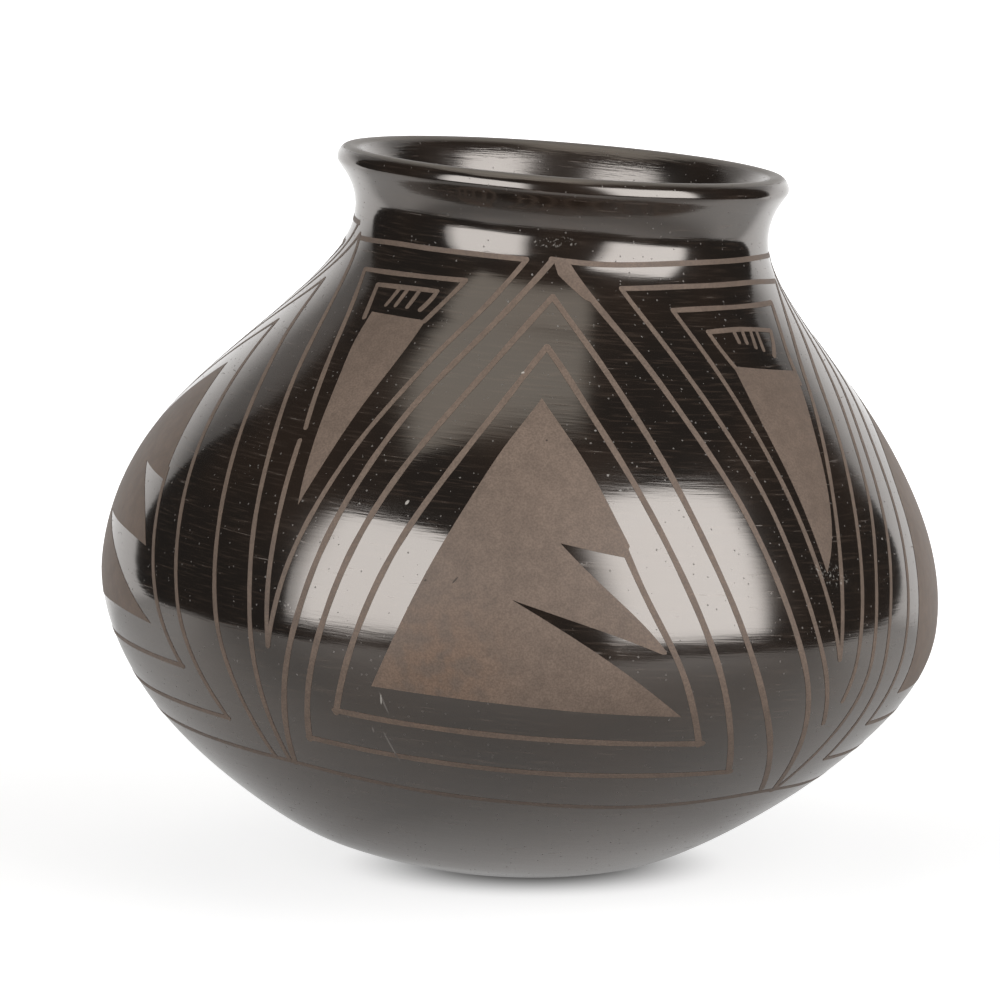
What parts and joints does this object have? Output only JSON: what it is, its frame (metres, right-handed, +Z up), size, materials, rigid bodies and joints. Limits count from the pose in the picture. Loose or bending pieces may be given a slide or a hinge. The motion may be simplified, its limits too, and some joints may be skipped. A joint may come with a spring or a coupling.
{
  "type": "blackware vase",
  "caption": "Round-bottomed, wide-bellied jar of burnished black earthenware with a short neck, a rolled lip and matte geometric painting; stands on a small worn flat and leans a little.",
  "frame": {"origin": "middle of the flat spot on the base, on the surface that the jar stands on", "axes": "+Z up, +X the way that the jar leans (the picture's right), -Y towards the picture's camera"},
  "size_m": [0.2396, 0.2398, 0.2092],
  "materials": {
    "burnished_black": "smoke-blackened slip, burnished with a stone to a high gloss",
    "matte_paint": "matte clay paint brushed over the burnish before firing"
  },
  "bodies": {
    "root": {"base_bowl": "burnished_black", "lower_wall_coil": "burnished_black", "under_belly_coil": "burnished_black", "belly_coil": "burnished_black", "over_belly_coil": "burnished_black", "shoulder_coil": "burnished_black", "neck_coil": "burnished_black", "rim_coil": "burnished_black"}
  },
  "joints": []
}
